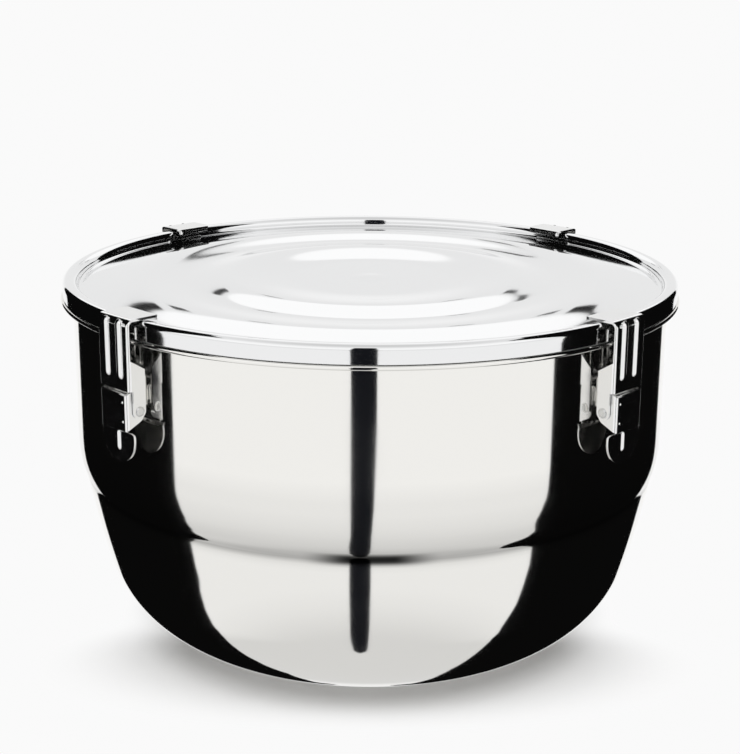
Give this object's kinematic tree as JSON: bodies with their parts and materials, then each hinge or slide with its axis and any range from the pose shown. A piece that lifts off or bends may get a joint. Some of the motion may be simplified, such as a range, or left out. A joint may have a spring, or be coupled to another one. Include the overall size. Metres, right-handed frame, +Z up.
{
  "type": "latched food container",
  "caption": "Round stainless steel food container: deep bowl with a nesting step, flat lid with a hidden seal, held down by draw latches round the rim.",
  "frame": {"origin": "centre of the foot, on the surface the container stands on", "axes": "+Z up along the bowl's axis; the latches lie at 45 degrees to X and Y, and the pictured side faces -Y"},
  "size_m": [0.2316, 0.2316, 0.1381],
  "materials": {
    "bowl_steel": "mirror polished stainless steel",
    "lid_steel": "satin polished stainless steel",
    "latch_steel": "polished pressed stainless steel",
    "pin_steel": "plain steel rivets",
    "seal": "translucent silicone rubber"
  },
  "bodies": {
    "container": {"bowl": "bowl_steel", "lid": "lid_steel", "gasket": "seal", "latch_1_bracket": "latch_steel", "latch_1_lever_pin": "pin_steel", "latch_2_bracket": "latch_steel", "latch_2_lever_pin": "pin_steel", "latch_3_bracket": "latch_steel", "latch_3_lever_pin": "pin_steel", "latch_4_bracket": "latch_steel", "latch_4_lever_pin": "pin_steel"},
    "lever_1": {"latch_1_lever": "latch_steel", "latch_1_hook_pin": "pin_steel"},
    "hook_1": {"latch_1_hook": "latch_steel"},
    "lever_2": {"latch_2_lever": "latch_steel", "latch_2_hook_pin": "pin_steel"},
    "hook_2": {"latch_2_hook": "latch_steel"},
    "lever_3": {"latch_3_lever": "latch_steel", "latch_3_hook_pin": "pin_steel"},
    "hook_3": {"latch_3_hook": "latch_steel"},
    "lever_4": {"latch_4_lever": "latch_steel", "latch_4_hook_pin": "pin_steel"},
    "hook_4": {"latch_4_hook": "latch_steel"}
  },
  "joints": [
    {"name": "lever_1_hinge", "type": "hinge", "parent": "container", "child": "lever_1", "pos_m": [0.08146, 0.08146, 0.1128], "axis": [0.7071, -0.7071, 0], "range_deg": [0, 82]},
    {"name": "hook_1_hinge", "type": "hinge", "parent": "lever_1", "child": "hook_1", "pos_m": [0.08146, 0.08146, 0.1068], "axis": [0.7071, -0.7071, 0], "range_deg": [-92, 0]},
    {"name": "lever_2_hinge", "type": "hinge", "parent": "container", "child": "lever_2", "pos_m": [-0.08146, 0.08146, 0.1128], "axis": [0.7071, 0.7071, 0], "range_deg": [0, 82]},
    {"name": "hook_2_hinge", "type": "hinge", "parent": "lever_2", "child": "hook_2", "pos_m": [-0.08146, 0.08146, 0.1068], "axis": [0.7071, 0.7071, 0], "range_deg": [-92, 0]},
    {"name": "lever_3_hinge", "type": "hinge", "parent": "container", "child": "lever_3", "pos_m": [-0.08146, -0.08146, 0.1128], "axis": [-0.7071, 0.7071, 0], "range_deg": [0, 82]},
    {"name": "hook_3_hinge", "type": "hinge", "parent": "lever_3", "child": "hook_3", "pos_m": [-0.08146, -0.08146, 0.1068], "axis": [-0.7071, 0.7071, 0], "range_deg": [-92, 0]},
    {"name": "lever_4_hinge", "type": "hinge", "parent": "container", "child": "lever_4", "pos_m": [0.08146, -0.08146, 0.1128], "axis": [-0.7071, -0.7071, 0], "range_deg": [0, 82]},
    {"name": "hook_4_hinge", "type": "hinge", "parent": "lever_4", "child": "hook_4", "pos_m": [0.08146, -0.08146, 0.1068], "axis": [-0.7071, -0.7071, 0], "range_deg": [-92, 0]}
  ],
  "couplings": [
    {"joint": "hook_1_hinge", "follows": "lever_1_hinge", "ratio": -1.12},
    {"joint": "hook_2_hinge", "follows": "lever_2_hinge", "ratio": -1.12},
    {"joint": "hook_3_hinge", "follows": "lever_3_hinge", "ratio": -1.12},
    {"joint": "hook_4_hinge", "follows": "lever_4_hinge", "ratio": -1.12}
  ]
}
